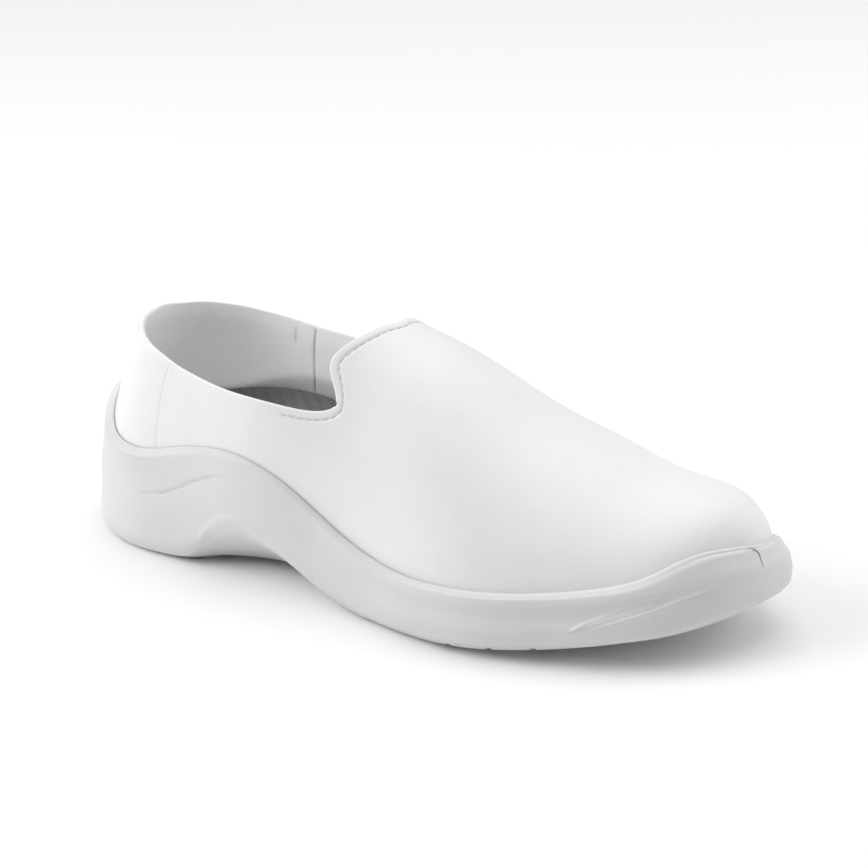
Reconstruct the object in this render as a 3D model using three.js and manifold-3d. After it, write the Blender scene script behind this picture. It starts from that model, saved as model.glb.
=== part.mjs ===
import * as THREE from "three";
import Module from "manifold-3d";

// Slip-on medical shoe for the right foot, in millimetres.
// Toe towards +X, lateral side towards -Y, floor at z = 0.

// Driving sizes
const SOLE_LENGTH = 269;
const BALL_WIDTH = 100;
const HEEL_WIDTH = 72;
const INSTEP_HEIGHT = 93;
const HEEL_SEAT = 31.6;
const BALL_SEAT = 12.2;
const TOE_SPRING = 15;
const SIDE_WALL = 4.2;
const UPPER_WALL = 1.8;
const INSOLE_THICKNESS = 4;
const FIT_GAP = 0.3;
const GROOVE_WIDTH = 2;
const GROOVE_DEPTH = 2.4;
const GROOVE_PITCH = 16;

// Mesh density: columns from heel to toe on each side, and rows
const COLUMNS = 50;
const CUP_ROWS = 5;
const UPPER_ROWS = 9;
const CROSS_CELLS = 6;

// Sizes that follow from the driving ones
const HEEL_OVERHANG = 1.05 * SIDE_WALL;
const TOE_OVERHANG = 1.27 * SIDE_WALL;
const BASE_LENGTH = SOLE_LENGTH - HEEL_OVERHANG - TOE_OVERHANG;
const BASE_BALL = BALL_WIDTH - 2 * SIDE_WALL;
const HEEL_SCALE = (HEEL_WIDTH - 1.5 * SIDE_WALL) / (0.72 * BASE_BALL);

// Upper, one row per section. along: share of the base length. lateral, medial: half widths in
// shares of the ball. ridge: offset of the ridge to the medial side, same share. rise: height of
// the ridge over the base line in shares of the instep.
const SECTIONS = [
  { along: 0.06, lateral: 0.286, medial: 0.26, ridge: 0, rise: 0.442 },
  { along: 0.16, lateral: 0.367, medial: 0.356, ridge: 0, rise: 0.877 },
  { along: 0.3, lateral: 0.43, medial: 0.357, ridge: 0.011, rise: 0.965 },
  { along: 0.42, lateral: 0.442, medial: 0.334, ridge: 0.044, rise: 0.796 },
  { along: 0.55, lateral: 0.517, medial: 0.391, ridge: 0.061, rise: 0.716 },
  { along: 0.66, lateral: 0.552, medial: 0.447, ridge: 0.069, rise: 0.589 },
  { along: 0.76, lateral: 0.499, medial: 0.447, ridge: 0.075, rise: 0.498 },
  { along: 0.86, lateral: 0.413, medial: 0.392, ridge: 0.081, rise: 0.406 },
  { along: 0.94, lateral: 0.262, medial: 0.293, ridge: 0.099, rise: 0.357 },
];
// How full the form closes at each end, in the units of SECTIONS
const HEEL_END = { lateral: 0.63, medial: 0.694, ridge: 0, rise: 0.275 };
const TOE_END = { lateral: 0.697, medial: 0.251, ridge: 0.11, rise: 0.915 };

// Curve of the sections and line of the base, one row per section. roundLat, roundMed: power of
// the curve on each side. drop: share of the heel lift in the base line. spring: share of the
// toe spring in it.
const BASE = [
  { along: 0, roundLat: 2.4, roundMed: 2.4, drop: 0.97, spring: 0 },
  { along: 0.06, roundLat: 2.22, roundMed: 1.9, drop: 0.99, spring: 0 },
  { along: 0.16, roundLat: 2.17, roundMed: 2.12, drop: 1.035, spring: 0 },
  { along: 0.3, roundLat: 2.25, roundMed: 2.25, drop: 0.866, spring: 0 },
  { along: 0.42, roundLat: 2.1, roundMed: 2.25, drop: 0.577, spring: 0 },
  { along: 0.55, roundLat: 1.95, roundMed: 2.3, drop: 0.227, spring: 0 },
  { along: 0.66, roundLat: 1.95, roundMed: 2.3, drop: 0.046, spring: 0 },
  { along: 0.76, roundLat: 2, roundMed: 2.3, drop: 0, spring: 0.015 },
  { along: 0.86, roundLat: 2.15, roundMed: 2.35, drop: 0, spring: 0.113 },
  { along: 0.94, roundLat: 2.2, roundMed: 2.35, drop: 0, spring: 0.267 },
  { along: 1, roundLat: 2.2, roundMed: 2.35, drop: 0, spring: 0.63 },
];

// Collar edge. turn: degrees round the foot on either side, 0 at the heel and 180 at the toe.
// lateral, medial: share of the base length. upLat, upMed: angle on the section, 0 at the base
// line, 90 on the ridge.
const COLLAR = [
  { turn: 0, lateral: 0.074, medial: 0.074, upLat: 90, upMed: 90 },
  { turn: 18, lateral: 0.0915, medial: 0.087, upLat: 56, upMed: 56.6 },
  { turn: 32, lateral: 0.123, medial: 0.1255, upLat: 38.6, upMed: 38 },
  { turn: 42, lateral: 0.157, medial: 0.159, upLat: 31.1, upMed: 30.3 },
  { turn: 51, lateral: 0.195, medial: 0.195, upLat: 26.6, upMed: 25.8 },
  { turn: 60, lateral: 0.259, medial: 0.259, upLat: 24.3, upMed: 23.6 },
  { turn: 70, lateral: 0.342, medial: 0.342, upLat: 28.3, upMed: 28.3 },
  { turn: 77, lateral: 0.393, medial: 0.393, upLat: 33.9, upMed: 33.9 },
  { turn: 83, lateral: 0.42, medial: 0.42, upLat: 39.4, upMed: 39.4 },
  { turn: 90, lateral: 0.42, medial: 0.422, upLat: 44.2, upMed: 43 },
  { turn: 100, lateral: 0.407, medial: 0.411, upLat: 49.5, upMed: 46 },
  { turn: 113, lateral: 0.408, medial: 0.419, upLat: 57, upMed: 51.5 },
  { turn: 130, lateral: 0.429, medial: 0.449, upLat: 71, upMed: 64 },
  { turn: 152, lateral: 0.442, medial: 0.458, upLat: 80.5, upMed: 78 },
  { turn: 180, lateral: 0.454, medial: 0.454, upLat: 90, upMed: 90 },
];

// Sole, by turn. lateral, medial: height of its upper edge as a share of the instep. lip: thickness
// there as a share of the side wall.
const RIM = [
  { turn: 0, lateral: 0.57, medial: 0.57, lip: 0.31 },
  { turn: 10, lateral: 0.586, medial: 0.586, lip: 0.31 },
  { turn: 18, lateral: 0.527, medial: 0.527, lip: 0.31 },
  { turn: 25, lateral: 0.457, medial: 0.457, lip: 0.31 },
  { turn: 32, lateral: 0.43, medial: 0.43, lip: 0.31 },
  { turn: 41, lateral: 0.438, medial: 0.438, lip: 0.31 },
  { turn: 55, lateral: 0.51, medial: 0.51, lip: 0.31 },
  { turn: 65, lateral: 0.53, medial: 0.53, lip: 0.33 },
  { turn: 74, lateral: 0.462, medial: 0.462, lip: 0.43 },
  { turn: 84, lateral: 0.33, medial: 0.33, lip: 0.62 },
  { turn: 95, lateral: 0.252, medial: 0.252, lip: 0.79 },
  { turn: 108, lateral: 0.246, medial: 0.246, lip: 0.83 },
  { turn: 122, lateral: 0.263, medial: 0.263, lip: 0.83 },
  { turn: 135, lateral: 0.298, medial: 0.29, lip: 0.81 },
  { turn: 147, lateral: 0.349, medial: 0.32, lip: 0.71 },
  { turn: 160, lateral: 0.417, medial: 0.335, lip: 0.48 },
  { turn: 180, lateral: 0.382, medial: 0.382, lip: 0.43 },
];
// Bottom edge of the sole's side. lateral, medial: its height on each side as a share of the heel
// seat. insetLat, insetMed: how far in from it the ground face starts, as a share of the ball.
const EDGE = [
  { turn: 0, lateral: 0.136, medial: 0.136, insetLat: 0.05, insetMed: 0.05 },
  { turn: 22, lateral: 0.044, medial: 0.044, insetLat: 0.04, insetMed: 0.04 },
  { turn: 40, lateral: 0.038, medial: 0.038, insetLat: 0.04, insetMed: 0.04 },
  { turn: 48, lateral: 0.063, medial: 0.063, insetLat: 0.045, insetMed: 0.045 },
  { turn: 53, lateral: 0.136, medial: 0.142, insetLat: 0.06, insetMed: 0.06 },
  { turn: 57, lateral: 0.31, medial: 0.316, insetLat: 0.09, insetMed: 0.09 },
  { turn: 62, lateral: 0.506, medial: 0.522, insetLat: 0.14, insetMed: 0.13 },
  { turn: 66, lateral: 0.595, medial: 0.633, insetLat: 0.17, insetMed: 0.15 },
  { turn: 70, lateral: 0.57, medial: 0.633, insetLat: 0.18, insetMed: 0.15 },
  { turn: 75, lateral: 0.411, medial: 0.522, insetLat: 0.15, insetMed: 0.14 },
  { turn: 80, lateral: 0.212, medial: 0.332, insetLat: 0.09, insetMed: 0.11 },
  { turn: 86, lateral: 0.066, medial: 0.127, insetLat: 0.05, insetMed: 0.06 },
  { turn: 94, lateral: 0.028, medial: 0.038, insetLat: 0.04, insetMed: 0.04 },
  { turn: 108, lateral: 0.079, medial: 0.079, insetLat: 0.04, insetMed: 0.04 },
  { turn: 127, lateral: 0.237, medial: 0.237, insetLat: 0.04, insetMed: 0.04 },
  { turn: 149, lateral: 0.453, medial: 0.453, insetLat: 0.04, insetMed: 0.04 },
  { turn: 180, lateral: 0.528, medial: 0.528, insetLat: 0.04, insetMed: 0.04 },
];
// Side of the sole from rim to bottom edge. down: share of that drop. back, heel, fore, toe:
// distance out from the upper's form there, as shares of the side wall.
const SIDE = [
  { down: 0.06, back: 0.8, heel: 0.5, fore: 0.95, toe: 0.65 },
  { down: 0.19, back: 0.65, heel: 0.62, fore: 0.93, toe: 0.85 },
  { down: 0.27, back: 0.57, heel: 0.7, fore: 0.78, toe: 1.04 },
  { down: 0.43, back: 0.63, heel: 0.82, fore: 0.82, toe: 1.2 },
  { down: 0.54, back: 0.8, heel: 0.88, fore: 1, toe: 1.27 },
  { down: 0.78, back: 0.98, heel: 0.92, fore: 1, toe: 1.21 },
  { down: 0.93, back: 1.05, heel: 0.84, fore: 0.92, toe: 1.1 },
  { down: 1, back: 0.93, heel: 0.66, fore: 0.72, toe: 0.99 },
];
// Insole: height of its top over the base line at both edges and in the middle, as shares of its
// thickness
const FOOTBED = [
  { along: 0, lateral: 1.5, centre: 1.25, medial: 1.5 },
  { along: 0.1, lateral: 1.75, centre: 1.12, medial: 2 },
  { along: 0.2, lateral: 2, centre: 1.25, medial: 2.75 },
  { along: 0.3, lateral: 2.12, centre: 1.62, medial: 3.38 },
  { along: 0.42, lateral: 1.75, centre: 1.5, medial: 2.38 },
  { along: 0.55, lateral: 1.25, centre: 1.12, medial: 1.5 },
  { along: 0.7, lateral: 1, centre: 1, medial: 1 },
  { along: 1, lateral: 1, centre: 1, medial: 1 },
];

const radians = (degrees) => (degrees * Math.PI) / 180;
const mix = (a, b, share) => a + (b - a) * share;
const clamp = (value, low, high) => Math.min(high, Math.max(low, value));
const smooth = (value, low, high) => {
  const t = clamp((value - low) / (high - low), 0, 1);
  return t * t * (3 - 2 * t);
};
const roundness = (along) => 2 * Math.sqrt(Math.max(0, along * (1 - along)));

// Natural cubic spline through the points (xs, ys)
function spline(xs, ys) {
  const n = xs.length;
  const upper = new Array(n).fill(0);
  const bend = new Array(n).fill(0);
  for (let i = 1; i < n - 1; i++) {
    const before = xs[i] - xs[i - 1];
    const after = xs[i + 1] - xs[i];
    const slopeChange = (ys[i + 1] - ys[i]) / after - (ys[i] - ys[i - 1]) / before;
    const pivot = 2 * (before + after) - before * upper[i - 1];
    upper[i] = after / pivot;
    bend[i] = (6 * slopeChange - before * bend[i - 1]) / pivot;
  }
  for (let i = n - 2; i > 0; i--) {
    bend[i] -= upper[i] * bend[i + 1];
  }
  return (value) => {
    const x = clamp(value, xs[0], xs[n - 1]);
    let i = 0;
    while (i < n - 2 && x > xs[i + 1]) i++;
    const width = xs[i + 1] - xs[i];
    const left = xs[i + 1] - x;
    const right = x - xs[i];
    const cubic = (bend[i] * left ** 3 + bend[i + 1] * right ** 3) / (6 * width);
    const low = (ys[i] / width - (bend[i] * width) / 6) * left;
    const high = (ys[i + 1] / width - (bend[i + 1] * width) / 6) * right;
    return cubic + low + high;
  };
}

const column = (rows, name) => rows.map((row) => row[name]);

// Spline along the shoe through a size of SECTIONS that closes roundly at both ends
function closingSpline(size, heelEnd, toeEnd) {
  const xs = [0, ...column(SECTIONS, "along"), 1];
  const inner = SECTIONS.map((row) => size(row) / roundness(row.along));
  return spline(xs, [heelEnd, ...inner, toeEnd]);
}

// Spline by turn, mirrored at heel and toe so that it crosses both ends level.
// With a mirror value the column turns round that value instead.
function turnSpline(rows, name, mirror) {
  const turns = column(rows, "turn");
  const values = column(rows, name);
  const across = (value) => (mirror === undefined ? value : 2 * mirror - value);
  const last = rows.length - 1;
  const xs = [-turns[2], -turns[1], ...turns, 360 - turns[last - 1], 360 - turns[last - 2]];
  const ys = [
    across(values[2]),
    across(values[1]),
    ...values,
    across(values[last - 1]),
    across(values[last - 2]),
  ];
  const curve = spline(xs, ys);
  return (turn) => curve(Math.abs(turn));
}

const widthScale = (along) => BASE_BALL * mix(HEEL_SCALE, 1, smooth(along, 0.2, 0.5));
const ridgeShare = spline(
  [0, ...column(SECTIONS, "along"), 1],
  [HEEL_END.ridge, ...column(SECTIONS, "ridge"), TOE_END.ridge],
);
const ridgeAt = (along) => ridgeShare(along) * widthScale(along);
const lateralFull = closingSpline(
  (row) => row.lateral + row.ridge,
  HEEL_END.lateral,
  TOE_END.lateral,
);
const medialFull = closingSpline((row) => row.medial - row.ridge, HEEL_END.medial, TOE_END.medial);
const riseFull = closingSpline((row) => row.rise, HEEL_END.rise, TOE_END.rise);
const [roundLat, roundMed, dropShare, springShare] = ["roundLat", "roundMed", "drop", "spring"].map(
  (name) => spline(column(BASE, "along"), column(BASE, name)),
);
const collarLateral = turnSpline(COLLAR, "lateral");
const collarMedial = turnSpline(COLLAR, "medial");
const upLateral = turnSpline(COLLAR, "upLat", 90);
const upMedial = turnSpline(COLLAR, "upMed", 90);
const rimLateral = turnSpline(RIM, "lateral");
const rimMedial = turnSpline(RIM, "medial");
const lipShare = turnSpline(RIM, "lip");
const rimHeight = (turn) => INSTEP_HEIGHT * (turn < 0 ? rimMedial : rimLateral)(turn);
const lipThickness = (turn) => SIDE_WALL * lipShare(turn);

// Height of the base line, where the upper meets the floor of the sole's cup
function seatAt(along) {
  const lift = (HEEL_SEAT - BALL_SEAT) * dropShare(along);
  return BALL_SEAT + lift + TOE_SPRING * springShare(along);
}

// Height of the ground face: bevelled heel, raised shank, toe spring
function groundAt(along) {
  const bevel = 0.95 * SIDE_WALL * (1 - smooth(along, -0.01, 0.04));
  const arch = smooth(along, 0.18, 0.24) * (1 - smooth(along, 0.38, 0.45));
  const shank = 0.082 * HEEL_SEAT * arch;
  const spring = 1.05 * TOE_SPRING * clamp((along - 0.57) / 0.43, 0, 1) ** 1.5;
  return bevel + shank + spring;
}

// Point of the upper's closed form for a direction: x to the toe, y lateral, z up
function formPoint(dir) {
  const along = (1 + dir.x) / 2;
  const spread = Math.hypot(dir.y, dir.z);
  const across = spread > 1e-9 ? Math.abs(dir.y) / spread : 0;
  const up = spread > 1e-9 ? Math.max(0, dir.z) / spread : 0;
  const lateral = dir.y > 0;
  const power = 2 / (lateral ? roundLat(along) : roundMed(along));
  const full = lateral ? lateralFull(along) : medialFull(along);
  const reach = full * widthScale(along) * spread * across ** power;
  return new THREE.Vector3(
    HEEL_OVERHANG + BASE_LENGTH * along,
    ridgeAt(along) + (lateral ? -reach : reach),
    seatAt(along) + riseFull(along) * INSTEP_HEIGHT * spread * up ** power,
  );
}

// Point of the upper's outside. turn is positive on the lateral side and negative on the medial
// one. climb is 0 at the base line and 1 at the collar edge.
function upperPoint(turn, climb) {
  const wrapped = turn > 180 ? turn - 360 : turn;
  const side = wrapped < 0 ? -1 : 1;
  const angle = radians(Math.abs(wrapped));
  const base = new THREE.Vector3(-Math.cos(angle), side * Math.sin(angle), 0);
  const along = (wrapped < 0 ? collarMedial : collarLateral)(wrapped);
  const up = radians((wrapped < 0 ? upMedial : upLateral)(wrapped));
  const spread = roundness(along);
  const edge = new THREE.Vector3(
    2 * along - 1,
    side * spread * Math.cos(up),
    spread * Math.sin(up),
  );
  const arc = base.angleTo(edge);
  base.multiplyScalar(Math.sin((1 - climb) * arc) / Math.sin(arc));
  edge.multiplyScalar(Math.sin(climb * arc) / Math.sin(arc));
  return formPoint(base.add(edge));
}

// The same point moved out along the surface's normal
function skinPoint(turn, climb, distance) {
  const point = upperPoint(turn, climb);
  const step = 0.004;
  const low = Math.max(0, climb - step);
  const round = upperPoint(turn + 0.5, climb).sub(upperPoint(turn - 0.5, climb));
  const upward = upperPoint(turn, low + 2 * step).sub(upperPoint(turn, low));
  return point.addScaledVector(round.cross(upward).normalize(), distance);
}

// Climb at which the column of this turn reaches a height
function climbAt(turn, height) {
  let low = 0;
  let high = 1;
  for (let i = 0; i < 40; i++) {
    const middle = (low + high) / 2;
    if (upperPoint(turn, middle).z < height) low = middle;
    else high = middle;
  }
  return (low + high) / 2;
}

// Outward direction of the base line in plan
function planNormal(turn) {
  const round = upperPoint(turn + 0.5, 0).sub(upperPoint(turn - 0.5, 0));
  return new THREE.Vector3(round.y, -round.x, 0).normalize();
}

const seatUnder = (point) => seatAt((point.x - HEEL_OVERHANG) / BASE_LENGTH);

// Turns of the loop's columns: heel, lateral side, toe, medial side
const LOOP = [];
for (let i = 0; i < 2 * COLUMNS; i++) {
  const turn = (i * 180) / COLUMNS;
  LOOP.push(turn > 180 ? turn - 360 : turn);
}

// Surface of rows of points, each row a loop of the same count
class Skin {
  constructor() {
    this.points = [];
    this.faces = [];
  }

  addRow(row) {
    const first = this.points.length;
    this.points.push(...row);
    return row.map((_, i) => first + i);
  }

  // Faces between two rows of a loop, seen from outside with the first row below
  joinRows(below, above) {
    const n = below.length;
    for (let i = 0; i < n; i++) {
      const j = (i + 1) % n;
      this.faces.push([below[i], below[j], above[j]], [below[i], above[j], above[i]]);
    }
  }

  joinAll(rows) {
    for (let i = 1; i < rows.length; i++) this.joinRows(rows[i - 1], rows[i]);
  }

  // Closes a loop with straight lines across from the lateral to the medial side.
  // inner(lateral, medial, turn) gives the points between the two ends of one line.
  closeAcross(loop, inner, facesUp) {
    const half = loop.length / 2;
    const lines = [];
    for (let i = 0; i <= half; i++) {
      const lateral = loop[i];
      const medial = loop[(loop.length - i) % loop.length];
      if (lateral === medial) {
        lines.push([lateral]);
        continue;
      }
      const between = inner(this.points[lateral], this.points[medial], LOOP[i]);
      lines.push([lateral, ...this.addRow(between), medial]);
    }
    for (let i = 1; i < lines.length; i++) {
      const back = lines[i - 1];
      const front = lines[i];
      const cells = Math.max(back.length, front.length) - 1;
      const pick = (line, j) => (line.length === 1 ? line[0] : line[j]);
      for (let j = 0; j < cells; j++) {
        const corners = [pick(back, j), pick(front, j), pick(front, j + 1), pick(back, j + 1)];
        const ring = corners.filter((corner, k) => corner !== corners[(k + 1) % 4]);
        for (let k = 2; k < ring.length; k++) {
          const face = [ring[0], ring[k - 1], ring[k]];
          this.faces.push(facesUp ? face : face.reverse());
        }
      }
    }
  }

  solid(wasm) {
    const vertProperties = new Float32Array(this.points.flatMap((p) => [p.x, p.y, p.z]));
    const triVerts = new Uint32Array(this.faces.flat());
    return new wasm.Manifold(new wasm.Mesh({ numProp: 3, vertProperties, triVerts }));
  }
}

// Inner points of a line across, evenly spread, with heights from a function of their place
function evenLine(lateral, medial, cells, height) {
  const points = [];
  for (let j = 1; j < cells; j++) {
    const point = lateral.clone().lerp(medial, j / cells);
    point.z = height(point, j / cells);
    points.push(point);
  }
  return points;
}

// Climbs of the upper's rows: evenly up to the sole's rim, then on to the collar
const rimClimbs = LOOP.map((turn) => climbAt(turn, rimHeight(turn)));
const cupClimb = (i, row) => (rimClimbs[i] * row) / CUP_ROWS;
const wallClimb = (i, row) => mix(rimClimbs[i], 1, row / UPPER_ROWS);

function loopRow(distance, climb) {
  return LOOP.map((turn, i) => skinPoint(turn, climb(i), distance));
}

function setOnSeat(row) {
  row.forEach((point) => {
    point.z = seatUnder(point);
  });
  return row;
}

function makeUpper(wasm) {
  const skin = new Skin();
  const rows = [];
  for (let row = 0; row <= CUP_ROWS; row++) {
    rows.push(skin.addRow(loopRow(0, (i) => cupClimb(i, row))));
  }
  for (let row = 1; row <= UPPER_ROWS; row++) {
    rows.push(skin.addRow(loopRow(0, (i) => wallClimb(i, row))));
  }
  for (let row = UPPER_ROWS; row > 0; row--) {
    rows.push(skin.addRow(loopRow(-UPPER_WALL, (i) => wallClimb(i, row))));
  }
  for (let row = CUP_ROWS; row > 0; row--) {
    rows.push(skin.addRow(loopRow(-UPPER_WALL, (i) => cupClimb(i, row))));
  }
  rows.push(skin.addRow(setOnSeat(loopRow(-UPPER_WALL, () => 0))));
  rows.push(rows[0]);
  skin.joinAll(rows);
  return skin.solid(wasm);
}

function makeInsole(wasm) {
  const tops = {};
  ["lateral", "centre", "medial"].forEach((name) => {
    tops[name] = spline(column(FOOTBED, "along"), column(FOOTBED, name));
  });
  const inward = -UPPER_WALL - FIT_GAP;
  const edgeRise = (turn) => {
    const along = (1 - Math.cos(radians(turn))) / 2;
    return INSOLE_THICKNESS * (turn < 0 ? tops.medial : tops.lateral)(along);
  };
  const edgeClimbs = LOOP.map((turn) => {
    return climbAt(turn, upperPoint(turn, 0).z + edgeRise(turn));
  });
  const skin = new Skin();
  const bottom = skin.addRow(setOnSeat(loopRow(inward, () => 0)));
  const middle = skin.addRow(loopRow(inward, (i) => edgeClimbs[i] / 2));
  const top = skin.addRow(loopRow(inward, (i) => edgeClimbs[i]));
  skin.joinAll([bottom, middle, top]);
  const topHeight = (point, share, lateral, medial) => {
    const along = (point.x - HEEL_OVERHANG) / BASE_LENGTH;
    const edge = mix(lateral.z, medial.z, share);
    const hollow = 1 - (2 * share - 1) ** 2;
    return mix(edge, seatAt(along) + INSOLE_THICKNESS * tops.centre(along), hollow);
  };
  skin.closeAcross(
    top,
    (lateral, medial) =>
      evenLine(lateral, medial, CROSS_CELLS, (p, share) => topHeight(p, share, lateral, medial)),
    true,
  );
  skin.closeAcross(bottom, (lateral, medial) => evenLine(lateral, medial, 2, seatUnder), false);
  return skin.solid(wasm);
}

// Point on the sole's side: out from the upper's form at its height, below it from the base line
function sidePoint(turn, height, out) {
  const base = upperPoint(turn, 0);
  const point = height > base.z ? upperPoint(turn, climbAt(turn, height)) : base;
  point.addScaledVector(planNormal(turn), out);
  point.z = height;
  return point;
}

function makeSole(wasm) {
  const edges = {};
  ["lateral", "medial", "insetLat", "insetMed"].forEach((name) => {
    edges[name] = turnSpline(EDGE, name);
  });
  const edgeHeight = (turn) => HEEL_SEAT * edges[turn < 0 ? "medial" : "lateral"](turn);
  const sideOut = (row, turn) => {
    const rear = mix(row.back, row.heel, smooth(Math.abs(turn), 25, 70));
    const front = mix(row.fore, row.toe, smooth(Math.abs(turn), 135, 165));
    return SIDE_WALL * mix(rear, front, smooth(Math.abs(turn), 70, 100));
  };

  const skin = new Skin();
  const outside = [...SIDE].reverse().map((row) =>
    skin.addRow(
      LOOP.map((turn) => {
        const height = mix(rimHeight(turn), edgeHeight(turn), row.down);
        return sidePoint(turn, height, sideOut(row, turn));
      }),
    ),
  );
  const lipRow = (share, rise) =>
    skin.addRow(
      LOOP.map((turn, i) => {
        const point = skinPoint(turn, rimClimbs[i], FIT_GAP);
        point.addScaledVector(planNormal(turn), share * lipThickness(turn));
        point.z += rise;
        return point;
      }),
    );
  const cup = [];
  for (let row = CUP_ROWS; row > 0; row--) {
    cup.push(skin.addRow(loopRow(FIT_GAP, (i) => cupClimb(i, row))));
  }
  const floorLoop = loopRow(FIT_GAP, () => 0);
  floorLoop.forEach((point) => {
    point.z = seatUnder(point) - FIT_GAP;
  });
  cup.push(skin.addRow(floorLoop));
  skin.joinAll([...outside, lipRow(1, -FIT_GAP), lipRow(0.6, 0.67 * FIT_GAP), ...cup]);
  skin.closeAcross(
    cup.at(-1),
    (lateral, medial) =>
      evenLine(lateral, medial, CROSS_CELLS, (point) => seatUnder(point) - FIT_GAP),
    true,
  );

  // Ground face: in from each bottom edge, then level across
  const groundLine = (lateral, medial, turn) => {
    const width = lateral.distanceTo(medial);
    const insetLat = Math.min(BALL_WIDTH * edges.insetLat(turn), 0.4 * width) / width;
    const insetMed = Math.min(BALL_WIDTH * edges.insetMed(turn), 0.4 * width) / width;
    const shares = [insetLat, 0.5, 1 - insetMed];
    return shares.map((share) => {
      const point = lateral.clone().lerp(medial, share);
      point.z = groundAt((point.x - HEEL_OVERHANG) / BASE_LENGTH);
      return point;
    });
  };
  skin.closeAcross(outside[0], groundLine, false);
  let sole = skin.solid(wasm);

  // Tread: grooves straight across, through both edges
  const cutGroove = (x) => {
    const depth = groundAt((x - HEEL_OVERHANG) / BASE_LENGTH) + GROOVE_DEPTH;
    const under = BALL_SEAT;
    const groove = wasm.Manifold.cube([GROOVE_WIDTH, 2 * BALL_WIDTH, depth + under]);
    sole = sole.subtract(groove.translate([x - GROOVE_WIDTH / 2, -BALL_WIDTH, -under]));
  };
  const treadZones = [
    [0.08, 0.19],
    [0.46, 0.93],
  ];
  treadZones.forEach(([from, to]) => {
    const low = HEEL_OVERHANG + from * BASE_LENGTH;
    const high = HEEL_OVERHANG + to * BASE_LENGTH;
    const count = Math.max(1, Math.round((high - low) / GROOVE_PITCH));
    for (let i = 0; i <= count; i++) cutGroove(mix(low, high, i / count));
  });
  return sole;
}

function toMesh(name, solid, material) {
  const data = solid.getMesh();
  const corners = new Float32Array(data.numVert * 3);
  for (let i = 0; i < data.numVert; i++) {
    corners.set(data.vertProperties.subarray(i * data.numProp, i * data.numProp + 3), i * 3);
  }
  const geometry = new THREE.BufferGeometry();
  geometry.setAttribute("position", new THREE.BufferAttribute(corners, 3));
  geometry.setIndex(new THREE.BufferAttribute(data.triVerts, 1));
  geometry.computeVertexNormals();
  const mesh = new THREE.Mesh(geometry, new THREE.MeshStandardMaterial(material));
  mesh.name = name;
  return mesh;
}

const wasm = await Module();
wasm.setup();

const shoe = new THREE.Group();
shoe.name = "medical_shoe";
shoe.add(
  toMesh("sole", makeSole(wasm), { color: 0xdedcd6, roughness: 0.55 }),
  toMesh("upper", makeUpper(wasm), { color: 0xf0f0ee, roughness: 0.45 }),
  toMesh("insole", makeInsole(wasm), { color: 0x5c5a58, roughness: 0.9 }),
);

// The frame's origin is under the middle of the shoe, on the floor
const box = new THREE.Box3().setFromObject(shoe);
const middle = box.getCenter(new THREE.Vector3());
shoe.children.forEach((mesh) => {
  mesh.geometry.translate(-middle.x, -middle.y, -box.min.z);
});

export default shoe;
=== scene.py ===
import math

import bmesh
import bpy
import numpy as np
from mathutils import Matrix, Vector


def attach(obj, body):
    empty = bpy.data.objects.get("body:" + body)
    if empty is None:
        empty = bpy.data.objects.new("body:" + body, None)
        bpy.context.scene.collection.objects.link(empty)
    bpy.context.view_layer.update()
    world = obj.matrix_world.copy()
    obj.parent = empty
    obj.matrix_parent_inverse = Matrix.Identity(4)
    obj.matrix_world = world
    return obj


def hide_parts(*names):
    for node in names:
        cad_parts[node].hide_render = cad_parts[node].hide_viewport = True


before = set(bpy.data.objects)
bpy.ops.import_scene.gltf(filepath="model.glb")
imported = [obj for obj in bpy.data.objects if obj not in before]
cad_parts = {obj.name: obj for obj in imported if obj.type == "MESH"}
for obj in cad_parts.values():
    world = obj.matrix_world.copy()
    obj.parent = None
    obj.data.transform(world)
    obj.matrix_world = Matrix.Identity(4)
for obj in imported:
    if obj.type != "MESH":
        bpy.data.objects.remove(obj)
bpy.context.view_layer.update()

# Looks of a slip-on medical shoe for the right foot.
# Shape functions work in millimetres: x from the heel to the toe, lateral side towards -y, floor
# at z = 0. to_frame turns them into the frame's metres.

# Sizes of the shoe

SOLE_LENGTH = 269
BALL_WIDTH = 100
HEEL_WIDTH = 72
INSTEP_HEIGHT = 93
HEEL_SEAT = 31.6
BALL_SEAT = 12.2
TOE_SPRING = 15
SIDE_WALL = 4.2
UPPER_WALL = 1.8
INSOLE_THICKNESS = 4
FIT_GAP = 0.3
GROOVE_WIDTH = 2
GROOVE_DEPTH = 2.4
GROOVE_PITCH = 16
# Where the frame's origin lies
FRAME_ORIGIN = (134.437, -4.487, 0)
# Sizes that follow from the driving ones
HEEL_OVERHANG = 1.05 * SIDE_WALL
TOE_OVERHANG = 1.27 * SIDE_WALL
BASE_LENGTH = SOLE_LENGTH - HEEL_OVERHANG - TOE_OVERHANG
BASE_BALL = BALL_WIDTH - 2 * SIDE_WALL
HEEL_SCALE = (HEEL_WIDTH - 1.5 * SIDE_WALL) / (0.72 * BASE_BALL)

# Columns of the meshes from heel to toe on each side
COLUMNS = 300

# Tables of the form

# Upper, one row per section. along: share of the base length. lateral, medial: half widths in
# shares of the ball. ridge: offset of the ridge to the medial side, same share. rise: height of
# the ridge over the base line in shares of the instep.
SECTIONS = np.array([
    (0.06, 0.286, 0.26, 0, 0.442),
    (0.16, 0.367, 0.356, 0, 0.877),
    (0.3, 0.43, 0.357, 0.011, 0.965),
    (0.42, 0.442, 0.334, 0.044, 0.796),
    (0.55, 0.517, 0.391, 0.061, 0.716),
    (0.66, 0.552, 0.447, 0.069, 0.589),
    (0.76, 0.499, 0.447, 0.075, 0.498),
    (0.86, 0.413, 0.392, 0.081, 0.406),
    (0.94, 0.262, 0.293, 0.099, 0.357),
])
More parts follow.
